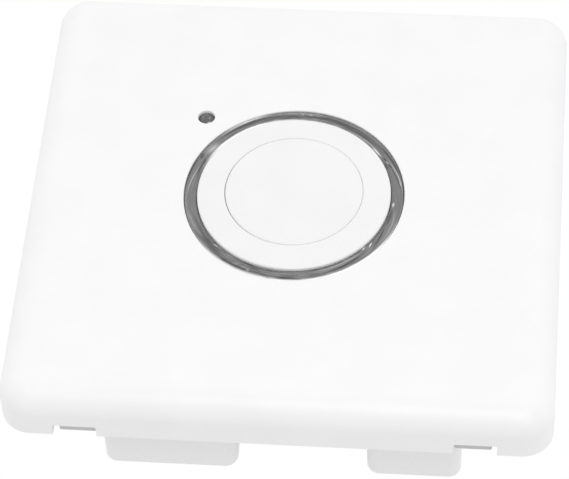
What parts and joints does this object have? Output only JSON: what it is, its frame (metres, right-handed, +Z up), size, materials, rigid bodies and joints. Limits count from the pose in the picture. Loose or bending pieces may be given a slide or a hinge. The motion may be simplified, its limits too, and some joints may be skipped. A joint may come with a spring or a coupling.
{
  "type": "touch timer switch",
  "caption": "Square wall plate timer switch with a domed round touch button in a clear ring, a small indicator and a rear housing with wire terminals.",
  "frame": {"origin": "midway between the two fixing holes, on the wall plane, which is the back face of the mounting frame", "axes": "+X right and +Z up the wall as seen from the room, +Y into the wall, so the cover faces -Y"},
  "size_m": [0.086, 0.0296, 0.086],
  "materials": {
    "white_moulding": "semi-gloss moulded polycarbonate",
    "clear_ring": "clear moulded polycarbonate light guide, smoke grey",
    "smoked_lens": "small smoke-grey light pipe",
    "frame_moulding": "satin moulded polycarbonate",
    "housing_moulding": "satin moulded polycarbonate",
    "circuit_board": "green solder mask",
    "plated_steel": "zinc-plated steel",
    "lamp_body": "moulded lamp body",
    "black_moulding": "black epoxy moulding",
    "relay_case": "blue moulded case",
    "film_case": "yellow box case",
    "can_sleeve": "shrink sleeve over an aluminium can",
    "coated_disc": "dipped epoxy coating",
    "resistor_body": "flameproof coating",
    "selector_case": "blue moulded case",
    "selector_shaft": "natural nylon",
    "terminal_moulding": "green moulded nylon",
    "brass_cage": "nickel-free brass"
  },
  "bodies": {
    "switch": {"front_cover": "white_moulding", "button_bezel": "white_moulding", "light_ring": "clear_ring", "indicator_lens": "smoked_lens", "mounting_frame": "frame_moulding", "rear_housing": "housing_moulding", "control_board": "circuit_board", "power_board": "circuit_board", "board_screws": "plated_steel", "housing_screws": "plated_steel", "terminal_screws": "plated_steel", "ring_leds": "lamp_body", "indicator_led": "lamp_body", "switch_body": "black_moulding", "microcontroller": "black_moulding", "link_header": "black_moulding", "driver_transistor": "black_moulding", "bridge_rectifier": "black_moulding", "fuse": "black_moulding", "relay": "relay_case", "film_capacitor": "film_case", "electrolytic_capacitor": "can_sleeve", "varistor": "coated_disc", "surge_resistor": "resistor_body", "selector_body": "selector_case", "terminal_block": "terminal_moulding", "terminal_clamps": "brass_cage"},
    "pad": {"touch_pad": "white_moulding", "switch_plunger": "black_moulding"},
    "selector": {"time_selector": "selector_shaft"}
  },
  "joints": [
    {"name": "pad_press", "type": "slide", "parent": "switch", "child": "pad", "axis": [0, 1, 0], "range_m": [0, 0.0005], "stiffness_N_per_m": 2000},
    {"name": "time_turn", "type": "hinge", "parent": "switch", "child": "selector", "pos_m": [0.016, 0.012, 0.02], "axis": [0, 1, 0], "range_deg": [-135, 135]}
  ]
}
